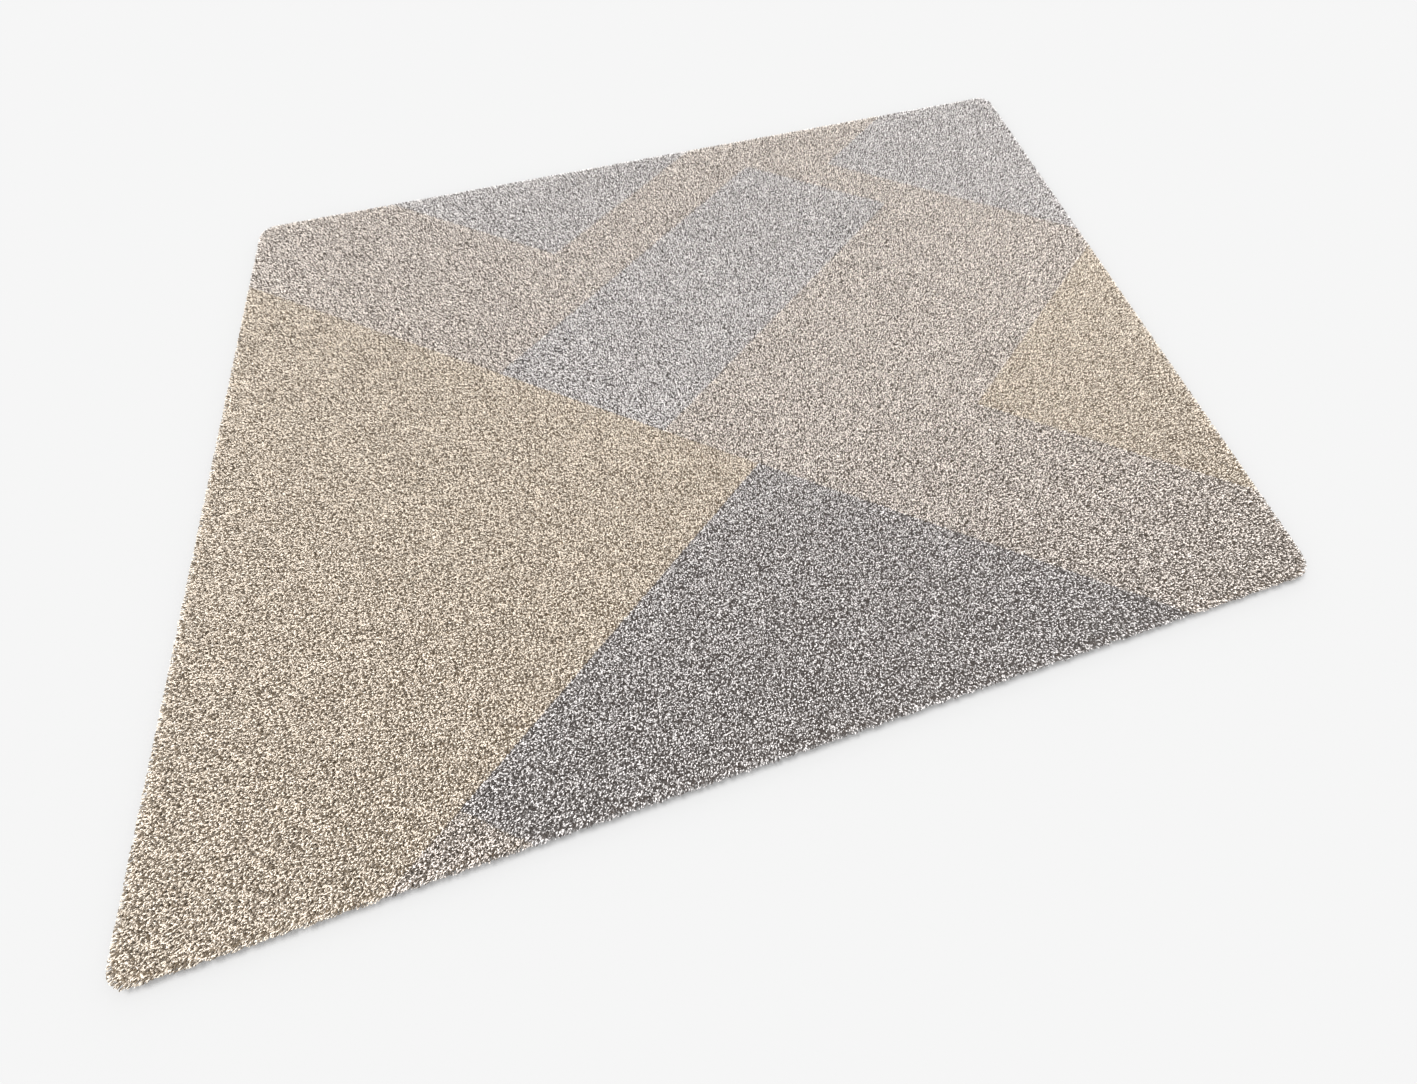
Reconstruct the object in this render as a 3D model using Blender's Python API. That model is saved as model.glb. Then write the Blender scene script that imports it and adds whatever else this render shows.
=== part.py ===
"""Area rug: a tufted cut-pile rug with a field pattern, built up in layers from the floor.

Metres, +Z up. The origin is the centre of the underside. +X runs along the long side and +Y
along the short side, from the front edge to the back edge.
"""

import math

import bmesh
import bpy
from mathutils import Vector

# Driving dimensions. The pile's outer edge is the rug's outline.
RUG_LENGTH = 2.300
RUG_WIDTH = 1.600
CORNER_RADIUS = 0.040
PILE_HEIGHT = 0.016
PILE_ROUNDING = 0.006
PILE_OVERHANG = 0.004
SERGING_WIDTH = 0.006
SERGING_ROUNDING = 0.0014
SECONDARY_BACKING_THICKNESS = 0.0014
LATEX_COAT_THICKNESS = 0.0009
PRIMARY_BACKING_THICKNESS = 0.0008
CLEARANCE = 0.0003

CORNER_SEGMENTS = 8
ROUNDING_SEGMENTS = 3

# The layers' undersides, from the floor up.
SECONDARY_BACKING_BOTTOM = 0.0
LATEX_COAT_BOTTOM = SECONDARY_BACKING_BOTTOM + SECONDARY_BACKING_THICKNESS + CLEARANCE
PRIMARY_BACKING_BOTTOM = LATEX_COAT_BOTTOM + LATEX_COAT_THICKNESS + CLEARANCE
BACKING_TOP = PRIMARY_BACKING_BOTTOM + PRIMARY_BACKING_THICKNESS
PILE_BOTTOM = BACKING_TOP + CLEARANCE

# The backings stop short of the outline by the pile's overhang and the serging round them.
SERGING_INSET = PILE_OVERHANG
BACKING_INSET = SERGING_INSET + SERGING_WIDTH + CLEARANCE

# Every pattern line is parallel to a diagonal of the rug, so the pattern keeps its corners on
# the rug whatever its length and width are. A falling line runs from back left to front right,
# and is placed by where it crosses the diagonal that starts at the front left corner, from 0
# there to 1 at the back right. A rising line runs from front left to back right, and is placed
# by where it crosses the other diagonal, from 0 at the back left corner to 1 at the front right.
FALLING_FRONT_CORNER = 0.144
FALLING_MAIN = 0.434
FALLING_SAND_RIGHT = 0.556
FALLING_BACK_LEFT = 0.577
FALLING_CENTRE_END = 0.770
FALLING_BACK_RIGHT = 0.808
RISING_BACK_LEFT = 0.272
RISING_CENTRE_LEFT = 0.3435
RISING_BACK_RIGHT = 0.414
RISING_CENTRE_RIGHT = 0.504
RISING_FRONT = 0.590
RISING_SAND_RIGHT = 0.711
START_OUTSIDE = -1.0
END_OUTSIDE = 2.0

# Each field lies between two falling lines and two rising lines.
FIELDS = {
    "pile_sand_left": ("sand", (START_OUTSIDE, FALLING_MAIN), (START_OUTSIDE, RISING_FRONT)),
    "pile_taupe_front": (
        "taupe", (START_OUTSIDE, FALLING_FRONT_CORNER), (RISING_FRONT, END_OUTSIDE)),
    "pile_grey_front": (
        "grey", (FALLING_FRONT_CORNER, FALLING_MAIN), (RISING_FRONT, END_OUTSIDE)),
    "pile_grey_centre": (
        "grey", (FALLING_MAIN, FALLING_CENTRE_END), (RISING_CENTRE_LEFT, RISING_CENTRE_RIGHT)),
    "pile_grey_back_left": (
        "grey", (FALLING_BACK_LEFT, END_OUTSIDE), (START_OUTSIDE, RISING_BACK_LEFT)),
    "pile_grey_back_right": (
        "grey", (FALLING_BACK_RIGHT, END_OUTSIDE), (RISING_BACK_RIGHT, END_OUTSIDE)),
    "pile_sand_right": (
        "sand", (FALLING_SAND_RIGHT, END_OUTSIDE), (RISING_SAND_RIGHT, END_OUTSIDE)),
}
GROUND_NAME = "pile_taupe_ground"
GROUND_YARN = "taupe"

# Base colour, roughness.
FINISHES = {
    "sand": ((0.62, 0.54, 0.43), 0.95),
    "taupe": ((0.57, 0.50, 0.44), 0.95),
    "grey": ((0.47, 0.44, 0.42), 0.95),
    "primary_cloth": ((0.55, 0.52, 0.46), 0.90),
    "latex": ((0.78, 0.76, 0.70), 0.60),
    "secondary_cloth": ((0.48, 0.38, 0.26), 0.92),
    "serging_yarn": ((0.50, 0.45, 0.38), 0.90),
}


def clear_scene():
    for item in list(bpy.data.objects):
        bpy.data.objects.remove(item, do_unlink=True)


def new_collection(name):
    collection = bpy.data.collections.new(name)
    bpy.context.scene.collection.children.link(collection)
    return collection


def material(name):
    """The Principled material of one of the finishes, made the first time it is asked for."""
    found = bpy.data.materials.get(name)
    if found:
        return found
    colour, roughness = FINISHES[name]
    made = bpy.data.materials.new(name)
    made.use_nodes = True
    shader = made.node_tree.nodes["Principled BSDF"]
    shader.inputs["Base Color"].default_value = (*colour, 1.0)
    shader.inputs["Roughness"].default_value = roughness
    shader.inputs["Metallic"].default_value = 0.0
    return made


def rounded_rectangle(length, width, radius):
    """The outline's points, counter-clockwise, with each corner an arc."""
    points = []
    for quarter, (side_x, side_y) in enumerate(((1, 1), (-1, 1), (-1, -1), (1, -1))):
        centre = Vector((side_x * (length / 2 - radius), side_y * (width / 2 - radius)))
        for step in range(CORNER_SEGMENTS + 1):
            angle = math.pi / 2 * (quarter + step / CORNER_SEGMENTS)
            points.append(centre + radius * Vector((math.cos(angle), math.sin(angle))))
    return points


def flat_solid(name, outline, bottom, top, collection):
    """A mesh object: the outline, filled, from one height to the other."""
    curve = bpy.data.curves.new(name + "_outline", "CURVE")
    curve.dimensions = "2D"
    curve.fill_mode = "BOTH"
    curve.extrude = (top - bottom) / 2
    spline = curve.splines.new("POLY")
    spline.points.add(len(outline) - 1)
    for point, place in zip(spline.points, outline):
        point.co = (place[0], place[1], 0.0, 1.0)
    spline.use_cyclic_u = True
    drawn = bpy.data.objects.new(name + "_outline", curve)
    drawn.location.z = (top + bottom) / 2
    bpy.context.scene.collection.objects.link(drawn)
    bpy.context.view_layer.update()

    evaluated = drawn.evaluated_get(bpy.context.evaluated_depsgraph_get())
    mesh = bpy.data.meshes.new_from_object(evaluated)
    mesh.transform(drawn.matrix_world)
    bpy.data.objects.remove(drawn)
    bpy.data.curves.remove(curve)
    weld_and_flatten(mesh)
    mesh.name = name
    solid = bpy.data.objects.new(name, mesh)
    collection.objects.link(solid)
    return solid


def weld_and_flatten(mesh):
    """Joins the caps to the sides and dissolves each cap's triangles into one face."""
    edit = bmesh.new()
    edit.from_mesh(mesh)
    bmesh.ops.remove_doubles(edit, verts=edit.verts, dist=0.00001)
    bmesh.ops.dissolve_limit(
        edit, angle_limit=math.radians(1), verts=edit.verts, edges=edit.edges)
    bmesh.ops.recalc_face_normals(edit, faces=edit.faces)
    edit.to_mesh(mesh)
    edit.free()


def lies_at(edge, height):
    return all(abs(vertex.co.z - height) < CLEARANCE / 10 for vertex in edge.verts)


def round_rim(solid, heights, radius):
    """Rounds the outline's edges at the given heights into the solid's mesh."""
    edit = bmesh.new()
    edit.from_mesh(solid.data)
    rim = [
        edge for edge in edit.edges
        if any(lies_at(edge, height) for height in heights)
    ]
    bmesh.ops.bevel(
        edit, geom=rim, offset=radius, offset_type="OFFSET", segments=ROUNDING_SEGMENTS,
        profile=0.5, affect="EDGES", clamp_overlap=True)
    edit.to_mesh(solid.data)
    edit.free()


def inset_slab(name, inset, bottom, top, collection):
    """A layer whose outline lies the given distance inside the rug's."""
    outline = rounded_rectangle(
        RUG_LENGTH - 2 * inset, RUG_WIDTH - 2 * inset, max(CORNER_RADIUS - inset, CLEARANCE))
    return flat_solid(name, outline, bottom, top, collection)


def give(solid, finish):
    solid.data.materials.clear()
    solid.data.materials.append(material(finish))
    return solid


def mark_cutter(solid):
    solid.hide_render = True
    solid.display_type = "WIRE"
    return solid


def cut(solid, operation, cutter):
    boolean = solid.modifiers.new(operation.lower() + "_" + cutter.name, "BOOLEAN")
    boolean.operation = operation
    boolean.solver = "EXACT"
    boolean.object = cutter


def line_crossing(falling, rising):
    """Where a falling and a rising line meet, in metres from the rug's centre."""
    return Vector((
        (falling + rising - 1.0) * RUG_LENGTH,
        (falling - rising) * RUG_WIDTH,
    ))


def field_outline(falling, rising, margin):
    """A field's four corners, counter-clockwise, with its sides moved outwards by the margin."""
    diagonal = math.hypot(RUG_LENGTH, RUG_WIDTH)
    share = margin * diagonal / (2 * RUG_LENGTH * RUG_WIDTH)
    low_falling, high_falling = falling[0] - share, falling[1] + share
    low_rising, high_rising = rising[0] - share, rising[1] + share
    return [
        line_crossing(low_falling, low_rising),
        line_crossing(low_falling, high_rising),
        line_crossing(high_falling, high_rising),
        line_crossing(high_falling, low_rising),
    ]


def pile_slab(name, collection):
    """The whole pile as one block, with its top rim rounded over."""
    top = PILE_BOTTOM + PILE_HEIGHT
    slab = inset_slab(name, 0.0, PILE_BOTTOM, top, collection)
    round_rim(slab, [top], PILE_ROUNDING)
    return slab


def field_cutter(name, falling, rising, margin, cutters):
    outline = field_outline(falling, rising, margin)
    reach = PILE_HEIGHT
    return mark_cutter(flat_solid(
        name, outline, PILE_BOTTOM - reach, PILE_BOTTOM + PILE_HEIGHT + reach, cutters))


def make_pile_fields(rug, cutters):
    for name, (yarn, falling, rising) in FIELDS.items():
        field = give(pile_slab(name, rug), yarn)
        cut(field, "INTERSECT", field_cutter(
            name + "_bounds", falling, rising, -CLEARANCE / 2, cutters))


def make_pile_ground(rug, cutters):
    """The ground is what the other fields leave of the pile."""
    ground = give(pile_slab(GROUND_NAME, rug), GROUND_YARN)
    for name, (_, falling, rising) in FIELDS.items():
        cut(ground, "DIFFERENCE", field_cutter(
            name + "_clearing", falling, rising, CLEARANCE / 2, cutters))


def make_backings(rug):
    layers = (
        ("primary_backing", "primary_cloth", PRIMARY_BACKING_BOTTOM, PRIMARY_BACKING_THICKNESS),
        ("latex_coat", "latex", LATEX_COAT_BOTTOM, LATEX_COAT_THICKNESS),
        ("secondary_backing", "secondary_cloth",
         SECONDARY_BACKING_BOTTOM, SECONDARY_BACKING_THICKNESS),
    )
    for name, finish, bottom, thickness in layers:
        give(inset_slab(name, BACKING_INSET, bottom, bottom + thickness, rug), finish)


def make_serging(rug, cutters):
    """The ring of overlocked yarn round the edge of the backings."""
    bottom, top = SECONDARY_BACKING_BOTTOM, BACKING_TOP
    ring = give(inset_slab("edge_serging", SERGING_INSET, bottom, top, rug), "serging_yarn")
    round_rim(ring, [bottom, top], SERGING_ROUNDING)
    cut(ring, "DIFFERENCE", mark_cutter(inset_slab(
        "backing_room", SERGING_INSET + SERGING_WIDTH, bottom - PILE_HEIGHT, top + PILE_HEIGHT,
        cutters)))


def main():
    clear_scene()
    rug = new_collection("area_rug")
    cutters = new_collection("cutters")
    make_backings(rug)
    make_serging(rug, cutters)
    make_pile_fields(rug, cutters)
    make_pile_ground(rug, cutters)


main()
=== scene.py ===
"""The looks of the area rug: tufted yarn, woven backings and the overlocked edge."""

import math

import bpy
import numpy as np
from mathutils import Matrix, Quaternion, Vector


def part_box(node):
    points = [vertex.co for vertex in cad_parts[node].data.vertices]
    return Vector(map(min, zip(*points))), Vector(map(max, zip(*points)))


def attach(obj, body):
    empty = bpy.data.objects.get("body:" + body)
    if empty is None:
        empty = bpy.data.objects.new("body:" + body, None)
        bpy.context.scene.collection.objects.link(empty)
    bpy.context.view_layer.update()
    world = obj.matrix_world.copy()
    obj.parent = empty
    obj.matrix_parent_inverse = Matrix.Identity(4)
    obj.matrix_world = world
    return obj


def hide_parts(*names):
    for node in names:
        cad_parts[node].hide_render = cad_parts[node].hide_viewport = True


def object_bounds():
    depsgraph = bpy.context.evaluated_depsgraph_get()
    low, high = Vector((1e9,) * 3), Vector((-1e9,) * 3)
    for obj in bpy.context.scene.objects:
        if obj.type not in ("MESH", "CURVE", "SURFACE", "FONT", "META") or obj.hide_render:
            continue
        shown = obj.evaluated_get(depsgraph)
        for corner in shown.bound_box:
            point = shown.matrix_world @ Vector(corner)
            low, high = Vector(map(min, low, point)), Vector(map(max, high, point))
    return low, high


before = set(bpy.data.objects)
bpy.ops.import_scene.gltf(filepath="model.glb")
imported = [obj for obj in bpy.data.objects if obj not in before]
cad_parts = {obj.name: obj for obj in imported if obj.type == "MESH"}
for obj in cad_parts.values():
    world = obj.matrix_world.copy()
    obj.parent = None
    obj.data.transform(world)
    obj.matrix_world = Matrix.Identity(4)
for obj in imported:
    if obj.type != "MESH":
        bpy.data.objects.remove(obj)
cad_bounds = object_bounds()

MM = 0.001
# Guards a division by a length that may be 0.
TINY = 1e-9

# ---------------------------------------------------------------- sizes that come from the frame
CAD_LOW, CAD_HIGH = cad_bounds
HALF_LENGTH = (CAD_HIGH.x - CAD_LOW.x) / 2
HALF_WIDTH = (CAD_HIGH.y - CAD_LOW.y) / 2
PILE_TOP = CAD_HIGH.z
PILE_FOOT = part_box("primary_backing")[1].z
PILE_NODES = sorted(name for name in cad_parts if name.startswith("pile_"))
YARN_OF_NODE = {name: name.split("_")[1] for name in PILE_NODES}
# Corners this close in plan are one, and a node's lowest face is flat to within this.
SAME_CORNER = 0.01 * MM
FLAT_WITHIN = 0.1 * MM

# ---------------------------------------------------------------- yarn and tufting
TUFT_PITCH = 2.55 * MM
TUFT_JITTER = 0.36
# A tuft is a closed spindle of three sides: it widens from its root up to a bend, and its head
# leans over from there and ends in a point.
YARN_SIDES = 3
YARN_RADIUS = 1.06 * MM
STEM_LENGTH = 14.3 * MM
STEM_LEAN = math.radians(10)
HEAD_LENGTH = 2.7 * MM
HEAD_LEAN = math.radians(64)
HEAD_WANDER = math.radians(60)
# Single tufts have between these shares of the radius, of both leans, of the head's length and
# of its wander.
RADIUS_SHARES = (0.82, 1.15)
LEAN_SHARES = (0.6, 1.3)
HEAD_LENGTH_SHARES = (0.8, 1.2)
WANDER_SHARES = (0.2, 1.3)
# Their heights spread by this share of the stem's length, and differ by no more than the limits.
HEIGHT_SPREAD = 0.05
HEIGHT_LIMITS = (-0.16, 0.1)
# The bend's height on the attribute by which the material paints shade on the roots.
BEND_HEIGHT = 0.9
# Clumps of tufts stand a little higher or lower together.
CLUMP_HEIGHT = 0.012
CLUMP_LENGTHS = (12 * MM, 45 * MM)
# A smooth random height is the sum of this many waves.
WAVES = 24
# Two closer rows of stitches run along the outline, this far inside it and clear of the others.
RIM_PITCH = 1.9 * MM
RIM_JITTER = 0.3
RIM_INSETS = (5.2 * MM, 7.4 * MM)
RIM_CLEARANCE = 0.3 * TUFT_PITCH
# The tufts lean in nearly random directions. These spread widely about the nap, which runs
# towards the back left, and this share of them is turned round. All stems lean a little along it.
NAP_HEADING = math.radians(138)
NAP_SPREAD = 1.9
NAP_AGAINST = 0.3
NAP_LEAN = 0.06
# Along the edge the pile falls outwards over the side, and its heads end near the outline.
EDGE_FALL = 9.0 * MM
EDGE_LEAN = 0.34
EDGE_HEADING_SPREAD = 0.6
# How fast the headings turn outwards towards the edge, and how much less the heads wander there.
EDGE_TURN = 1.6
EDGE_CALM = 0.5
EDGE_ROUNDING = 6.0 * MM
EDGE_MARGIN = 0.2 * MM
EDGE_UNEVENNESS = 1.2 * MM
EDGE_TUFT_UNEVENNESS = 0.5 * EDGE_UNEVENNESS
EDGE_CLUMP_LENGTHS = (7 * MM, 30 * MM)
# The shares of what passes the outline, and of what passes the rounded rim, that are taken back.
TUCKED_SHARE = 0.85
ROUNDED_SHARE = 0.75
# Tufts belong to the field that their middle is in, looked up at least this far inside the rug.
FIELD_INSET = 2 * MM
MOST_TUFTS_IN_PIECE = 28000
# Dark and light yarns are mixed: the share of the light one, how clearly they differ, how much a
# stitch avoids its neighbours' shade, and the slope that makes a normal chance nearly even.
LIGHT_SHARE = 0.5
SHADE_SHARPNESS = 4.0
NEIGHBOUR_MIXING = 0.6
EVENING_SLOPE = 0.8
# Painted shade towards the front: less of the light yarn shows there, by these shares at its left
# and right ends, fading over this share of the rug's width. The front grey field has less of it
# too.
FRONT_LEFT_PAINTED_SHADE = 0.05
FRONT_RIGHT_PAINTED_SHADE = 0.14
FRONT_SHADE_DEPTH = 0.45
FIELD_DARKER = {"pile_grey_front": 0.09}
# Each tuft's own square of the map holds its triangles within a circle of this radius.
MAP_MIDDLE = 0.5
MAP_RADIUS = 0.47

# ---------------------------------------------------------------- the pieces under the pile
# The yarn between the tufts is felted up to this share of the pile's height, and ends this far
# inside the outline. Dark and light yarn show in it in patches: the light ones' share, how wide
# they are and how clearly they differ. That share is lower than the tufts', as painted shade
# in the gaps between them.
FELT_SHARE = 0.52
FELT_INSET = 4.9 * MM
FELT_SHADED_LIGHT_SHARE = 0.34
FELT_PATCH = 2.5 * MM
FELT_SHARPNESS = 4.0
# The frame's pieces stand this far apart.
SEAM = 0.3 * MM
# One turn of the overlocking yarn along the edge, and how deep the groove beside it is. Its ring
# has so many stations for each turn, and so many sides. A power under 1 squares its section off.
WRAP_PITCH = 2.8 * MM
WRAP_RELIEF = 0.5 * MM
WRAP_STATIONS = 4
WRAP_SIDES = 8
WRAP_POWER = 0.6
CLOTH_CELL = 12 * MM
CLOTH_UNEVENNESS = 0.12 * MM
CLOTH_WAVES = (40 * MM, 160 * MM)
# The cloth's border is brought onto its rounded corners in so many steps, and this power keeps
# the points that are drawn in with it near the border.
CORNER_STEPS = 6
CORNER_POWER = 40

CHANCE = np.random.default_rng(20)


# ---------------------------------------------------------------- the frame's outlines
def footprint(node):
    """The boundary edges of a node's lowest face, as an array of pairs of points in plan."""
    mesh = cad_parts[node].data
    places = np.array([vertex.co for vertex in mesh.vertices])
    floor = places[:, 2].min()
    keys = [tuple(np.round(place[:2] / SAME_CORNER).astype(int)) for place in places]
    seen = {}
    for polygon in mesh.polygons:
        corners = list(polygon.vertices)
        if places[corners, 2].max() > floor + FLAT_WITHIN:
            continue
        for start, end in zip(corners, corners[1:] + corners[:1]):
            seen.setdefault(frozenset((keys[start], keys[end])), []).append((start, end))
    borders = [uses[0] for uses in seen.values() if len(uses) == 1]
    return np.array([(places[a, :2], places[b, :2]) for a, b in borders])


def within(points, edges):
    """True for each point that the closed outline holds, by counting the edges to its right."""
    held = np.zeros(len(points), bool)
    for (ax, ay), (bx, by) in edges:
        spans = (ay > points[:, 1]) != (by > points[:, 1])
        if spans.any():
            crossing = ax + (points[:, 1] - ay) / (by - ay) * (bx - ax)
            held ^= spans & (points[:, 0] < crossing)
    return held


def area_inside(edges):
    """The area that the edges bound, each edge turned to run counter-clockwise about the origin."""
    turns = edges[:, 0, 0] * edges[:, 1, 1] - edges[:, 1, 0] * edges[:, 0, 1]
    return np.abs(turns).sum() / 2


def corner_radius():
    """The outline's corner radius, from how much of its box the backing's rounded corners miss."""
    low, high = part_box("secondary_backing")
    size = high - low
    missing = size.x * size.y - area_inside(footprint("secondary_backing"))
    return math.sqrt(missing / (4 - math.pi)) + HALF_LENGTH - size.x / 2


CORNER_RADIUS = corner_radius()


def depth_inside(points, inset=0.0):
    """How far each point lies inside the outline or one inset from it, and the way out of it."""
    half = np.array((HALF_LENGTH, HALF_WIDTH)) - CORNER_RADIUS
    beyond = np.abs(points) - half
    corner = np.maximum(beyond, 0)
    reach = np.linalg.norm(corner, axis=1)
    depth = CORNER_RADIUS - inset - reach - np.minimum(beyond.max(axis=1), 0)
    straight = np.where((beyond[:, 0] > beyond[:, 1])[:, None], (1.0, 0.0), (0.0, 1.0))
    outward = np.where((reach > 0)[:, None], corner / np.maximum(reach, TINY)[:, None], straight)
    return depth, outward * np.sign(points)


def outline_length(inset):
    """The length of the outline inset by the given distance."""
    straight = 4 * (HALF_LENGTH + HALF_WIDTH - 2 * CORNER_RADIUS)
    return straight + 2 * math.pi * (CORNER_RADIUS - inset)


def along_outline(inset, places):
    """The points and outward directions at distances along the outline inset by that much."""
    radius = CORNER_RADIUS - inset
    half = np.array((HALF_LENGTH, HALF_WIDTH)) - CORNER_RADIUS
    arc = math.pi / 2 * radius
    runs = np.array((2 * half[1], arc, 2 * half[0], arc) * 2)
    ends = np.concatenate(((0.0,), np.cumsum(runs)))
    places = places % ends[-1]
    run = np.clip(np.searchsorted(ends, places, side="right") - 1, 0, len(runs) - 1)
    along = places - ends[run]
    quarter = run // 2
    curved = run % 2 == 1
    turn = math.pi / 2 * quarter + np.where(curved, along / radius, 0)
    corner = np.array(((1, 1), (-1, 1), (-1, -1), (1, -1)))[quarter] * half
    ahead = np.stack((-np.sin(turn), np.cos(turn)), axis=1)
    outward = np.stack((np.cos(turn), np.sin(turn)), axis=1)
    back = np.where(curved, 0, along - runs[run])[:, None] * ahead
    return corner + outward * radius + back, outward


def unevenness(points, lengths):
    """A smooth random height over the plan, of mean 0 and spread 1, with waves of such lengths."""
    size = CHANCE.uniform(*lengths, WAVES)
    turn = CHANCE.uniform(0, 2 * math.pi, WAVES)
    start = CHANCE.uniform(0, 2 * math.pi, WAVES)
    crests = 2 * math.pi * np.stack((np.cos(turn), np.sin(turn))) / size
    return np.cos(points @ crests + start).sum(axis=1) / math.sqrt(WAVES / 2)


# ---------------------------------------------------------------- tufts
def tuft_roots():
    """Staggered rows of stitches, each a little out of place, and every stitch's chance."""
    row_pitch = TUFT_PITCH * math.sqrt(3) / 2
    rows = int(2 * HALF_WIDTH / row_pitch) + 2
    columns = int(2 * HALF_LENGTH / TUFT_PITCH) + 2
    row, column = np.meshgrid(np.arange(rows), np.arange(columns), indexing="ij")
    x = (column + 0.5 * (row % 2) - columns / 2) * TUFT_PITCH
    y = (row - rows / 2) * row_pitch
    roots = np.stack((x.ravel(), y.ravel()), axis=1)
    roots += CHANCE.uniform(-TUFT_JITTER, TUFT_JITTER, roots.shape) * TUFT_PITCH
    chance = mixed_chances(CHANCE.normal(0, 1, (rows, columns))).ravel()
    depth, _ = depth_inside(roots)
    inner = depth > max(RIM_INSETS) + RIM_CLEARANCE
    rims = [rim_roots(inset) for inset in RIM_INSETS]
    chances = [chance[inner]] + [CHANCE.random(len(rim)) for rim in rims]
    return np.concatenate([roots[inner]] + rims), np.concatenate(chances)


def mixed_chances(normal):
    """Even chances from 0 to 1, with less in common between neighbours than by accident."""
    moves = ((0, 1), (0, -1), (1, 0), (-1, 0), (1, 1), (-1, 1), (1, -1), (-1, -1))
    around = sum(np.roll(normal, move, (0, 1)) for move in moves) / len(moves)
    return 0.5 + 0.5 * np.tanh(EVENING_SLOPE * (normal - NEIGHBOUR_MIXING * around))


def rim_roots(inset):
    """Close, nearly even places along the outline, the given distance inside it."""
    places = np.arange(0, outline_length(inset), RIM_PITCH)
    places += CHANCE.uniform(-RIM_JITTER, RIM_JITTER, len(places)) * RIM_PITCH
    points, _ = along_outline(inset, places)
    return points


def tuft_spines(roots, radius):
    """The centre line of every tuft: its root, its bend and its tip."""
    count = len(roots)
    depth, outward = depth_inside(roots)
    heading = NAP_HEADING + CHANCE.normal(0, NAP_SPREAD, count)
    heading += math.pi * (CHANCE.random(count) < NAP_AGAINST)
    curl = CHANCE.choice((-1.0, 1.0), count)
    bend = CHANCE.uniform(*LEAN_SHARES, count)
    tall = 1 + CHANCE.normal(0, HEIGHT_SPREAD, count).clip(*HEIGHT_LIMITS)
    tall += CLUMP_HEIGHT * unevenness(roots, CLUMP_LENGTHS)
    edge = np.clip(1 - (depth - min(RIM_INSETS)) / EDGE_FALL, 0, 1)
    away = np.arctan2(outward[:, 1], outward[:, 0])
    away += CHANCE.normal(0, EDGE_HEADING_SPREAD, count)
    turn = (away - heading + math.pi) % (2 * math.pi) - math.pi
    heading = heading + turn * np.clip(edge * EDGE_TURN, 0, 1)
    nap = NAP_LEAN * np.array((math.cos(NAP_HEADING), math.sin(NAP_HEADING), 0.0))

    slope = STEM_LEAN * bend + EDGE_LEAN * edge
    stem = leaning(slope, heading) + nap
    stem /= np.linalg.norm(stem, axis=1, keepdims=True)
    wander = curl * HEAD_WANDER * CHANCE.uniform(*WANDER_SHARES, count)
    heading = heading + wander * (1 - EDGE_CALM * edge)
    head = leaning(HEAD_LEAN * bend + EDGE_LEAN * edge, heading)
    spine = np.zeros((count, 3, 3))
    spine[:, 0, :2] = roots
    spine[:, 0, 2] = PILE_FOOT
    spine[:, 1] = spine[:, 0] + stem * (STEM_LENGTH * tall)[:, None]
    length = HEAD_LENGTH * CHANCE.uniform(*HEAD_LENGTH_SHARES, count)
    spine[:, 2] = spine[:, 1] + head * length[:, None]
    return tucked_in(spine, radius)


def leaning(slope, heading):
    """Unit vectors that lean from the vertical by a slope, each towards a heading."""
    level = np.sin(slope)
    return np.stack((level * np.cos(heading), level * np.sin(heading), np.cos(slope)), axis=1)


def tucked_in(spine, radius):
    """Brings heads that pass the outline back near it, and rounds the pile's rim over."""
    reach = EDGE_UNEVENNESS * unevenness(spine[:, -1, :2], EDGE_CLUMP_LENGTHS)
    reach += CHANCE.normal(0, EDGE_TUFT_UNEVENNESS, len(spine))
    for step in range(1, spine.shape[1]):
        depth, outward = depth_inside(spine[:, step, :2])
        excess = np.maximum(EDGE_MARGIN + radius - reach - depth, 0)
        spine[:, step, :2] -= outward * (TUCKED_SHARE * excess)[:, None]
        near = np.clip(1 - depth / EDGE_ROUNDING, 0, 1)
        rim = PILE_TOP - radius - EDGE_ROUNDING * (1 - np.sqrt(1 - near ** 2))
        over = np.maximum(spine[:, step, 2] - rim, 0) * (near > 0)
        spine[:, step, 2] -= ROUNDED_SHARE * over
    return spine


def tuft_points(spine, radius):
    """Every tuft's points: its root, a ring round its bend, and its tip."""
    count = len(spine)
    stem = spine[:, 1] - spine[:, 0]
    head = spine[:, 2] - spine[:, 1]
    along = stem / np.linalg.norm(stem, axis=1, keepdims=True)
    along += head / np.linalg.norm(head, axis=1, keepdims=True)
    along /= np.linalg.norm(along, axis=1, keepdims=True)
    turned = CHANCE.uniform(0, 2 * math.pi, count)
    side = np.stack((np.cos(turned), np.sin(turned), np.zeros(count)), axis=1)
    across = side - (side * along).sum(axis=1, keepdims=True) * along
    across /= np.linalg.norm(across, axis=1, keepdims=True)
    over = np.cross(along, across)

    points = np.empty((count, YARN_SIDES + 2, 3))
    points[:, 0] = spine[:, 0]
    for corner in range(YARN_SIDES):
        angle = 2 * math.pi * corner / YARN_SIDES
        offset = math.cos(angle) * across + math.sin(angle) * over
        points[:, corner + 1] = spine[:, 1] + offset * radius[:, None]
    points[:, -1] = spine[:, 2]
    return points


def tuft_faces():
    """One tuft's triangles, as places in tuft_points, and their corners' places on its map."""
    def on_rim(step):
        turn = 2 * math.pi * step / YARN_SIDES + math.pi / 2
        return MAP_MIDDLE + MAP_RADIUS * math.cos(turn), MAP_MIDDLE + MAP_RADIUS * math.sin(turn)

    faces, places = [], []
    for side in range(YARN_SIDES):
        near, far = 1 + side, 1 + (side + 1) % YARN_SIDES
        faces += [(near, far, YARN_SIDES + 1), (far, near, 0)]
        places += [on_rim(side), on_rim(side + 1), (MAP_MIDDLE, MAP_MIDDLE)]
        places += [on_rim(side + 1), on_rim(side), on_rim(side + 0.5)]
    return np.array(faces), np.array(places)


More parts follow.
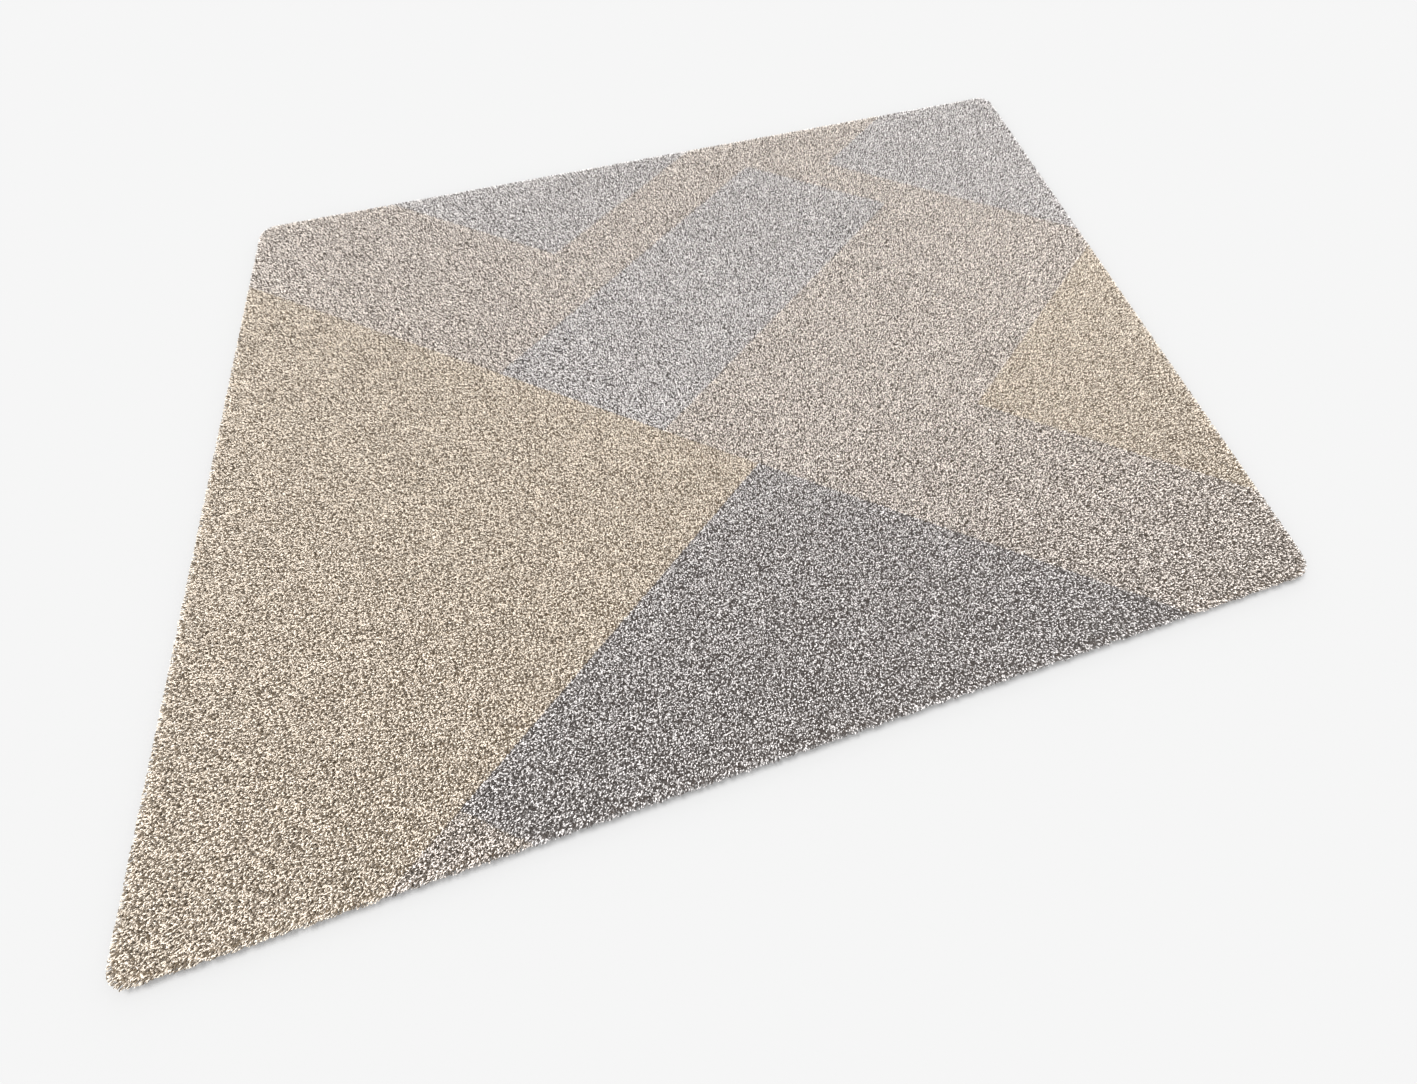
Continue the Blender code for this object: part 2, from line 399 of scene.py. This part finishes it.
def tuft_map(places, count):
    """Every face corner's place on the piece's map, where each tuft has a square of its own."""
    across = math.ceil(math.sqrt(count))
    tuft = np.arange(count)
    origin = np.stack((tuft % across, tuft // across), axis=1)
    return ((origin[:, None, :] + places[None, :, :]) / across).reshape(-1, 2)


def field_darker_and_painted_front_shade(node, points):
    """How much less of the light yarn a field shows at each point: painted shade towards the front,
    and the field's own fixed share.
    """
    right, back = (np.clip(points / (HALF_LENGTH, HALF_WIDTH), -1, 1).T + 1) / 2
    front = FRONT_LEFT_PAINTED_SHADE + (FRONT_RIGHT_PAINTED_SHADE - FRONT_LEFT_PAINTED_SHADE) * right
    return FIELD_DARKER.get(node, 0.0) + front * np.clip(1 - back / FRONT_SHADE_DEPTH, 0, 1)


def mesh_of_tufts(name, points, shade):
    """One mesh object of many closed tufts, with the yarn's shade and height on its points."""
    count, each, _ = points.shape
    faces, places = tuft_faces()
    corners = (np.arange(count)[:, None] * each + faces.ravel()[None, :]).ravel()
    triangles = count * len(faces)

    mesh = bpy.data.meshes.new(name)
    mesh.vertices.add(count * each)
    mesh.vertices.foreach_set("co", points.reshape(-1).astype(np.float32))
    mesh.loops.add(len(corners))
    mesh.loops.foreach_set("vertex_index", corners.astype(np.int32))
    mesh.polygons.add(triangles)
    mesh.polygons.foreach_set("loop_start", np.arange(triangles, dtype=np.int32) * 3)
    mesh.polygons.foreach_set("use_smooth", np.ones(triangles, bool))
    layer = mesh.uv_layers.new(name="OFBake")
    layer.uv.foreach_set("vector", tuft_map(places, count).ravel().astype(np.float32))

    height = np.array((0.0, *(BEND_HEIGHT,) * YARN_SIDES, 1.0))
    values = np.zeros((count, each, 3), np.float32)
    values[:, :, 0] = shade[:, None]
    values[:, :, 1] = height[None, :]
    yarn = mesh.attributes.new("yarn", "FLOAT_VECTOR", "POINT")
    yarn.data.foreach_set("vector", values.ravel())
    mesh.update(calc_edges=True)
    return shown(name, mesh)


def shown(name, data):
    """A new object in the scene that holds the given data."""
    made = bpy.data.objects.new(name, data)
    bpy.context.scene.collection.objects.link(made)
    return made


# ---------------------------------------------------------------- materials
# The darkest and the lightest strands of each yarn's melange.
YARN_COLOURS = {
    "sand": ((0.148, 0.110, 0.069), (0.93, 0.830, 0.709)),
    "taupe": ((0.085, 0.064, 0.045), (0.96, 0.878, 0.81)),
    "grey": ((0.070, 0.057, 0.050), (0.92, 0.882, 0.866)),
}
YARN_ROUGHNESS = 0.95
YARN_SPECULAR = 0.15
YARN_SHEEN = 0.25
YARN_SHEEN_ROUGHNESS = 0.6
# How wide the plies of one yarn are, and how much of the way from dark to light the plies and
# the whole tufts differ by.
PLY_WIDTH = 2.6 * MM
PLY_DETAIL = 1.0
PLY_CONTRAST = 0.8
TUFT_CONTRAST = 1.2
# Painted shade towards the roots: between these heights the yarn's tone goes from the root's darker
# one to the head's.
ROOT_SHADE_HEIGHTS = (0.2, 0.8)
ROOT_SHADE_TONES = (0.9, 1.0)

FIBRE_SPECULAR = 0.2
FIBRE_DETAIL = 4.0
FIBRE_ROUGHNESS = (0.8, 1.0)
# Where on the mottling noise the darkest and the lightest colour are reached.
MOTTLE_ENDS = (0.35, 0.65)
# Threads: how much coarser they are than their fibres and deeper than the fibres' relief, how
# wavy they run, and the tone of the painted shade in the gaps between them.
FIBRE_TO_THREAD = 0.5
FIBRE_RELIEF_TO_THREAD = 0.3
THREAD_WAVINESS = 0.6
GAP_SHADE_TONE = 0.45
# The wave texture has this many radians in a unit of its scale.
WAVE_RADIANS = 20


def new_material(name):
    """A material of this name, its nodes, its links and its shader."""
    made = bpy.data.materials.new(name)
    made.use_nodes = True
    nodes, links = made.node_tree.nodes, made.node_tree.links
    return made, nodes, links, nodes["Principled BSDF"]


def scaled_sum(nodes, factor, clamped):
    """A node that multiplies its first input by a factor and adds its third."""
    made = nodes.new("ShaderNodeMath")
    made.operation = "MULTIPLY_ADD"
    made.inputs[1].default_value = factor
    made.use_clamp = clamped
    return made


def product(nodes, links, colour, tone):
    """A colour darkened by a tone."""
    made = nodes.new("ShaderNodeMix")
    made.data_type = "RGBA"
    made.blend_type = "MULTIPLY"
    made.inputs["Factor"].default_value = 1.0
    links.new(colour, made.inputs["A"])
    links.new(tone, made.inputs["B"])
    return made.outputs["Result"]


def felt_shade(nodes, links, share, where):
    """Light patches, of which there are as many as the share says, among dark ones."""
    patches = nodes.new("ShaderNodeTexVoronoi")
    patches.inputs["Scale"].default_value = 1 / FELT_PATCH
    links.new(where, patches.inputs["Vector"])
    split = nodes.new("ShaderNodeSeparateColor")
    links.new(patches.outputs["Color"], split.inputs["Color"])
    lighter = nodes.new("ShaderNodeMath")
    links.new(split.outputs["Red"], lighter.inputs[0])
    links.new(share, lighter.inputs[1])
    apart = scaled_sum(nodes, FELT_SHARPNESS, True)
    apart.inputs[2].default_value = 0.5 - FELT_SHARPNESS
    links.new(lighter.outputs["Value"], apart.inputs[0])
    return apart.outputs["Value"]


def yarn_material(yarn, felted):
    """A melange yarn. The attribute has each tuft's shade in X, or the felt's share of light
    patches, and the height of each point in Y, by which the roots get painted shade."""
    dark, light = YARN_COLOURS[yarn]
    made, nodes, links, shader = new_material(("felt_" if felted else "yarn_") + yarn)
    shader.inputs["Roughness"].default_value = YARN_ROUGHNESS
    shader.inputs["Specular IOR Level"].default_value = YARN_SPECULAR
    shader.inputs["Sheen Weight"].default_value = YARN_SHEEN
    shader.inputs["Sheen Roughness"].default_value = YARN_SHEEN_ROUGHNESS

    strand = nodes.new("ShaderNodeAttribute")
    strand.attribute_name = "yarn"
    parts = nodes.new("ShaderNodeSeparateXYZ")
    links.new(strand.outputs["Vector"], parts.inputs["Vector"])
    where = nodes.new("ShaderNodeTexCoord").outputs["Object"]
    plies = nodes.new("ShaderNodeTexNoise")
    plies.inputs["Scale"].default_value = 1 / PLY_WIDTH
    plies.inputs["Detail"].default_value = PLY_DETAIL
    links.new(where, plies.inputs["Vector"])

    shade = parts.outputs["X"]
    if felted:
        shade = felt_shade(nodes, links, shade, where)
    own = scaled_sum(nodes, TUFT_CONTRAST, False)
    own.inputs[2].default_value = 0.5 - 0.5 * PLY_CONTRAST - 0.5 * TUFT_CONTRAST
    links.new(shade, own.inputs[0])
    mixed = scaled_sum(nodes, PLY_CONTRAST, True)
    links.new(plies.outputs["Fac"], mixed.inputs[0])
    links.new(own.outputs["Value"], mixed.inputs[2])
    melange = nodes.new("ShaderNodeMix")
    melange.data_type = "RGBA"
    melange.inputs["A"].default_value = (*dark, 1)
    melange.inputs["B"].default_value = (*light, 1)
    links.new(mixed.outputs["Value"], melange.inputs["Factor"])

    # Painted shade: the yarn is darkened towards its roots.
    depth = nodes.new("ShaderNodeMapRange")
    depth.inputs["From Min"].default_value, depth.inputs["From Max"].default_value = ROOT_SHADE_HEIGHTS
    depth.inputs["To Min"].default_value, depth.inputs["To Max"].default_value = ROOT_SHADE_TONES
    links.new(parts.outputs["Y"], depth.inputs["Value"])
    colour = product(nodes, links, melange.outputs["Result"], depth.outputs["Result"])
    links.new(colour, shader.inputs["Base Color"])
    return made


def fibrous_material(name, dark, light, grain, relief):
    """A matt surface mottled between two colours and roughened, at the given grain and depth."""
    made, nodes, links, shader = new_material(name)
    shader.inputs["Specular IOR Level"].default_value = FIBRE_SPECULAR
    where = nodes.new("ShaderNodeTexCoord")
    mottle = nodes.new("ShaderNodeTexNoise")
    mottle.inputs["Scale"].default_value = 1 / grain
    mottle.inputs["Detail"].default_value = FIBRE_DETAIL
    links.new(where.outputs["Object"], mottle.inputs["Vector"])
    tone = nodes.new("ShaderNodeValToRGB")
    for stop, place, colour in zip(tone.color_ramp.elements, MOTTLE_ENDS, (dark, light)):
        stop.position = place
        stop.color = (*colour, 1)
    links.new(mottle.outputs["Fac"], tone.inputs["Fac"])
    links.new(tone.outputs["Color"], shader.inputs["Base Color"])
    dull = nodes.new("ShaderNodeMapRange")
    dull.inputs["To Min"].default_value, dull.inputs["To Max"].default_value = FIBRE_ROUGHNESS
    links.new(mottle.outputs["Fac"], dull.inputs["Value"])
    links.new(dull.outputs["Result"], shader.inputs["Roughness"])
    bump = nodes.new("ShaderNodeBump")
    bump.inputs["Distance"].default_value = relief
    links.new(mottle.outputs["Fac"], bump.inputs["Height"])
    links.new(bump.outputs["Normal"], shader.inputs["Normal"])
    return made


def woven_material(name, dark, light, pitch, relief):
    """Cloth of crossing threads, the given distance apart, over a fibrous ground."""
    made = fibrous_material(
        name, dark, light, FIBRE_TO_THREAD * pitch, FIBRE_RELIEF_TO_THREAD * relief)
    nodes, links = made.node_tree.nodes, made.node_tree.links
    shader = nodes["Principled BSDF"]
    where = nodes["Texture Coordinate"]
    crossing = nodes.new("ShaderNodeMath")
    crossing.operation = "MAXIMUM"
    for direction, socket in zip(("X", "Y"), crossing.inputs):
        thread = nodes.new("ShaderNodeTexWave")
        thread.bands_direction = direction
        thread.inputs["Scale"].default_value = 2 * math.pi / WAVE_RADIANS / pitch
        thread.inputs["Distortion"].default_value = THREAD_WAVINESS
        links.new(where.outputs["Object"], thread.inputs["Vector"])
        links.new(thread.outputs["Fac"], socket)
    # Painted shade darkens the gaps between the threads.
    shaded = nodes.new("ShaderNodeMapRange")
    shaded.inputs["To Min"].default_value = GAP_SHADE_TONE
    links.new(crossing.outputs["Value"], shaded.inputs["Value"])
    ground = nodes["Color Ramp"].outputs["Color"]
    colour = product(nodes, links, ground, shaded.outputs["Result"])
    links.new(colour, shader.inputs["Base Color"])
    weave = nodes.new("ShaderNodeBump")
    weave.inputs["Distance"].default_value = relief
    links.new(crossing.outputs["Value"], weave.inputs["Height"])
    links.new(nodes["Bump"].outputs["Normal"], weave.inputs["Normal"])
    links.new(weave.outputs["Normal"], shader.inputs["Normal"])
    return made


# ---------------------------------------------------------------- pieces
def make_pile():
    """The tufts of each field, split from left to right into pieces that aren't too large."""
    roots, chance = tuft_roots()
    radius = YARN_RADIUS * CHANCE.uniform(*RADIUS_SHARES, len(roots))
    spine = tuft_spines(roots, radius)
    points = tuft_points(spine, radius)
    middle = spine[:, 1:, :2].mean(axis=1)
    depth, outward = depth_inside(middle)
    middle -= outward * np.maximum(FIELD_INSET - depth, 0)[:, None]
    pieces = []
    left = np.ones(len(roots), bool)
    for node in PILE_NODES:
        held = within(middle, footprint(node)) & left
        left &= ~held
        chosen = np.flatnonzero(held)
        chosen = chosen[np.argsort(roots[chosen, 0], kind="stable")]
        parts = max(1, math.ceil(len(chosen) / MOST_TUFTS_IN_PIECE))
        for number, share in enumerate(np.array_split(chosen, parts), 1):
            # Less light yarn towards the front paints shade there.
            lighter = chance[share] + LIGHT_SHARE - field_darker_and_painted_front_shade(node, roots[share])
            shade = np.clip(0.5 + SHADE_SHARPNESS * (lighter - 1), 0, 1)
            piece = mesh_of_tufts(f"{node}_tufts_{number:02d}", points[share], shade)
            piece.data.materials.append(yarn_materials[YARN_OF_NODE[node]])
            placed(piece, node)
            pieces.append(piece)
    return pieces


def make_felt(node):
    """The felted lower part of a field's yarn: the frame's solid, lower and short of the rim."""
    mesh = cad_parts[node].data.copy()
    places = np.array([vertex.co for vertex in mesh.vertices])
    depth, outward = depth_inside(places[:, :2])
    places[:, :2] -= outward * np.maximum(FELT_INSET - depth, 0)[:, None]
    places[:, 2] = PILE_FOOT + (places[:, 2] - PILE_FOOT) * FELT_SHARE
    mesh.vertices.foreach_set("co", places.ravel())
    # The felt's lower light share paints shade into the gaps between the tufts.
    values = np.tile((FELT_SHADED_LIGHT_SHARE, 1.0, 0.0), (len(places), 1))
    # The felt gets the same painted shade towards the front.
    values[:, 0] -= field_darker_and_painted_front_shade(node, places[:, :2])
    yarn = mesh.attributes.new("yarn", "FLOAT_VECTOR", "POINT")
    yarn.data.foreach_set("vector", values.ravel())
    mesh.materials.clear()
    mesh.materials.append(felt_materials[YARN_OF_NODE[node]])
    mesh.update()
    piece = shown(f"{node}_felt", mesh)
    placed(piece, node)
    return piece


def placed(piece, node):
    """Hangs a piece on the root body and hides the frame's node that it stands for."""
    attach(piece, "root")
    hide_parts(node)


def quad_mesh(name, points, quads, made, places=None):
    """A smooth mesh object of quads, with its own map where the places on one are given."""
    mesh = bpy.data.meshes.new(name)
    mesh.from_pydata(points.tolist(), [], quads.tolist())
    mesh.polygons.foreach_set("use_smooth", np.ones(len(quads), bool))
    if places is not None:
        mesh.uv_layers.new(name="OFBake").uv.foreach_set("vector", places.ravel())
    mesh.materials.append(made)
    mesh.update()
    return shown(name, mesh)


def make_serging():
    """One yarn wound round and round the edge, as a closed ring with a groove between turns."""
    low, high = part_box("edge_serging")
    outer = HALF_LENGTH - (high.x - low.x) / 2
    inner = HALF_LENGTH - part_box("primary_backing")[1].x - SEAM
    middle = (outer + inner) / 2
    stations = WRAP_STATIONS * round(outline_length(middle) / WRAP_PITCH)
    step = np.arange(stations)
    centre, outward = along_outline(middle, step * outline_length(middle) / stations)
    turn = 2 * math.pi * np.arange(WRAP_SIDES) / WRAP_SIDES
    across = np.sign(np.cos(turn)) * np.abs(np.cos(turn)) ** WRAP_POWER
    up = np.sign(np.sin(turn)) * np.abs(np.sin(turn)) ** WRAP_POWER
    # The yarn moves on by one turn's width as it goes once round the section.
    phase = step[:, None] / WRAP_STATIONS + np.arange(WRAP_SIDES)[None, :] / WRAP_SIDES
    groove = WRAP_RELIEF * (0.5 - 0.5 * np.cos(2 * math.pi * phase))
    reach = (inner - outer) / 2 * across - groove * np.cos(turn)
    rise = (high.z - low.z) / 2 * up - groove * np.sin(turn)
    points = np.empty((stations, WRAP_SIDES, 3))
    points[:, :, :2] = centre[:, None, :] + outward[:, None, :] * reach[:, :, None]
    points[:, :, 2] = (low.z + high.z) / 2 + rise
    here = step[:, None] * WRAP_SIDES + np.arange(WRAP_SIDES)
    beside = step[:, None] * WRAP_SIDES + (np.arange(WRAP_SIDES) + 1) % WRAP_SIDES
    after = stations * WRAP_SIDES
    quads = np.stack((here, (here + WRAP_SIDES) % after, (beside + WRAP_SIDES) % after, beside),
                     axis=2).reshape(-1, 4)
    # The map holds the ring's length in rows, one above the other.
    rows = math.ceil(math.sqrt(stations / WRAP_SIDES))
    each = math.ceil(stations / rows)
    u = (step % each)[:, None] / each + np.zeros(WRAP_SIDES)
    v = (step // each)[:, None] / rows + np.arange(WRAP_SIDES) / (WRAP_SIDES + 1) / rows
    wide, tall = 1 / each, 1 / (WRAP_SIDES + 1) / rows
    places = np.stack((np.stack((u, v), -1), np.stack((u + wide, v), -1),
                       np.stack((u + wide, v + tall), -1), np.stack((u, v + tall), -1)), axis=2)
    piece = quad_mesh("edge_serging_wraps", points.reshape(-1, 3), quads, serging_yarn, places)
    placed(piece, "edge_serging")
    return piece


def make_cloth(node, made):
    """A closed sheet of cloth in the node's place: two slightly uneven faces and their hem."""
    low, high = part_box(node)
    half = np.array((high.x - low.x, high.y - low.y)) / 2
    inset = HALF_LENGTH - half[0]
    columns, rows = (math.ceil(2 * side / CLOTH_CELL) + 1 for side in half)
    x, y = np.meshgrid(
        np.linspace(-half[0], half[0], columns), np.linspace(-half[1], half[1], rows))
    plan = np.stack((x.ravel(), y.ravel()), axis=1)
    # Points are drawn in towards the middle so that those on the border follow its corners.
    size = np.abs(plan / half).max(axis=1, keepdims=True)
    border = plan / np.maximum(size, TINY)
    scale = np.ones(len(plan))
    for _ in range(CORNER_STEPS):
        depth, outward = depth_inside(border * scale[:, None], inset)
        slope = (border * outward).sum(axis=1)
        scale += np.where(depth < 0, depth / np.maximum(slope, TINY), 0)
    plan *= 1 - (1 - scale[:, None]) * size ** CORNER_POWER
    sag = CLOTH_UNEVENNESS * np.tanh(unevenness(plan, CLOTH_WAVES))
    count = len(plan)
    points = np.empty((2 * count, 3))
    points[:, :2] = np.tile(plan, (2, 1))
    points[:count, 2] = low.z + CLOTH_UNEVENNESS + sag
    points[count:, 2] = high.z - CLOTH_UNEVENNESS + sag
    index = np.arange(count).reshape(rows, columns)
    cells = (index[:-1, :-1], index[:-1, 1:], index[1:, 1:], index[1:, :-1])
    up = np.stack(cells, axis=-1).reshape(-1, 4)
    rim = np.concatenate((index[0, :-1], index[:-1, -1], index[-1, :0:-1], index[:0:-1, 0]))
    after = np.roll(rim, -1)
    hem = np.stack((rim, after, after + count, rim + count), axis=1)
    quads = np.concatenate((up[:, ::-1], up + count, hem))
    piece = quad_mesh(f"{node}_cloth", points, quads, made)
    placed(piece, node)
    return piece, (2 * half[1], 2 * half[0])


yarn_materials = {yarn: yarn_material(yarn, False) for yarn in YARN_COLOURS}
felt_materials = {yarn: yarn_material(yarn, True) for yarn in YARN_COLOURS}
serging_yarn = fibrous_material(
    "serging_yarn", (0.42, 0.36, 0.29), (0.72, 0.64, 0.54), 0.7 * MM, 0.3 * MM)
primary_cloth = woven_material(
    "tufting_cloth", (0.45, 0.38, 0.29), (0.62, 0.54, 0.43), 1.6 * MM, 0.25 * MM)
secondary_cloth = woven_material(
    "backing_cloth", (0.50, 0.42, 0.31), (0.70, 0.62, 0.50), 2.6 * MM, 0.5 * MM)
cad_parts["latex_coat"].data.materials[0] = fibrous_material(
    "latex", (0.66, 0.62, 0.52), (0.83, 0.80, 0.71), 6 * MM, 0.2 * MM)

pile = make_pile() + [make_felt(node) for node in PILE_NODES]
serging = make_serging()
tufting, tufting_size = make_cloth("primary_backing", primary_cloth)
backing, backing_size = make_cloth("secondary_backing", secondary_cloth)


# ---------------------------------------------------------------- stage, light, camera
FLOOR_SIZE = 40.0
# The floor lies this far under the rug's lowest face.
FLOOR_GAP = 0.4 * MM
FLOOR_TONE = 0.392
SKY_STRENGTH = 1.33
SUN_STRENGTH = 3.75
SUN_ANGLE = math.radians(25)
SUN_TOWARDS = (0.25, -0.55, -1.0)
CAMERA_PLACE = (-0.0254, -0.6301, 1.2991)
CAMERA_HEADING = math.radians(17.46)
CAMERA_PITCH = math.radians(60.74)
CAMERA_ROLL = math.radians(1.98)
CAMERA_LENS = 14.30
CAMERA_SENSOR = 36.0
CAMERA_NEAREST = 0.01
CAMERA_SHIFT = (-0.0497, -0.1430)


def make_floor():
    """A plain pale matt floor."""
    bpy.ops.mesh.primitive_plane_add(size=FLOOR_SIZE, location=(0, 0, -FLOOR_GAP))
    floor = bpy.context.object
    floor.name = "floor"
    made, _, _, shader = new_material("floor")
    shader.inputs["Base Color"].default_value = (FLOOR_TONE, FLOOR_TONE, FLOOR_TONE, 1)
    shader.inputs["Roughness"].default_value = 1.0
    shader.inputs["Specular IOR Level"].default_value = 0.0
    floor.data.materials.append(made)


def make_light():
    """An even white sky and one wide, soft sun from the back left."""
    world = bpy.data.worlds.new("studio")
    bpy.context.scene.world = world
    world.use_nodes = True
    sky = world.node_tree.nodes["Background"]
    sky.inputs["Color"].default_value = (1, 1, 1, 1)
    sky.inputs["Strength"].default_value = SKY_STRENGTH
    sun = shown("key", bpy.data.lights.new("key", "SUN"))
    sun.data.energy = SUN_STRENGTH
    sun.data.angle = SUN_ANGLE
    sun.rotation_mode = "QUATERNION"
    sun.rotation_quaternion = Vector(SUN_TOWARDS).normalized().to_track_quat("-Z", "Y")


def make_camera():
    """The photograph's viewpoint, as fitted to the rug's corners."""
    camera = shown("camera", bpy.data.cameras.new("camera"))
    camera.data.lens = CAMERA_LENS
    camera.data.sensor_width = CAMERA_SENSOR
    camera.data.shift_x, camera.data.shift_y = CAMERA_SHIFT
    camera.data.clip_start = CAMERA_NEAREST
    camera.location = CAMERA_PLACE
    forward = Vector((
        math.sin(CAMERA_HEADING) * math.cos(CAMERA_PITCH),
        math.cos(CAMERA_HEADING) * math.cos(CAMERA_PITCH),
        -math.sin(CAMERA_PITCH)))
    camera.rotation_mode = "QUATERNION"
    camera.rotation_quaternion = (
        forward.to_track_quat("-Z", "Y") @ Quaternion((0, 0, 1), CAMERA_ROLL))
    bpy.context.scene.camera = camera


make_floor()
make_light()
make_camera()
bpy.context.scene.view_settings.view_transform = "Standard"
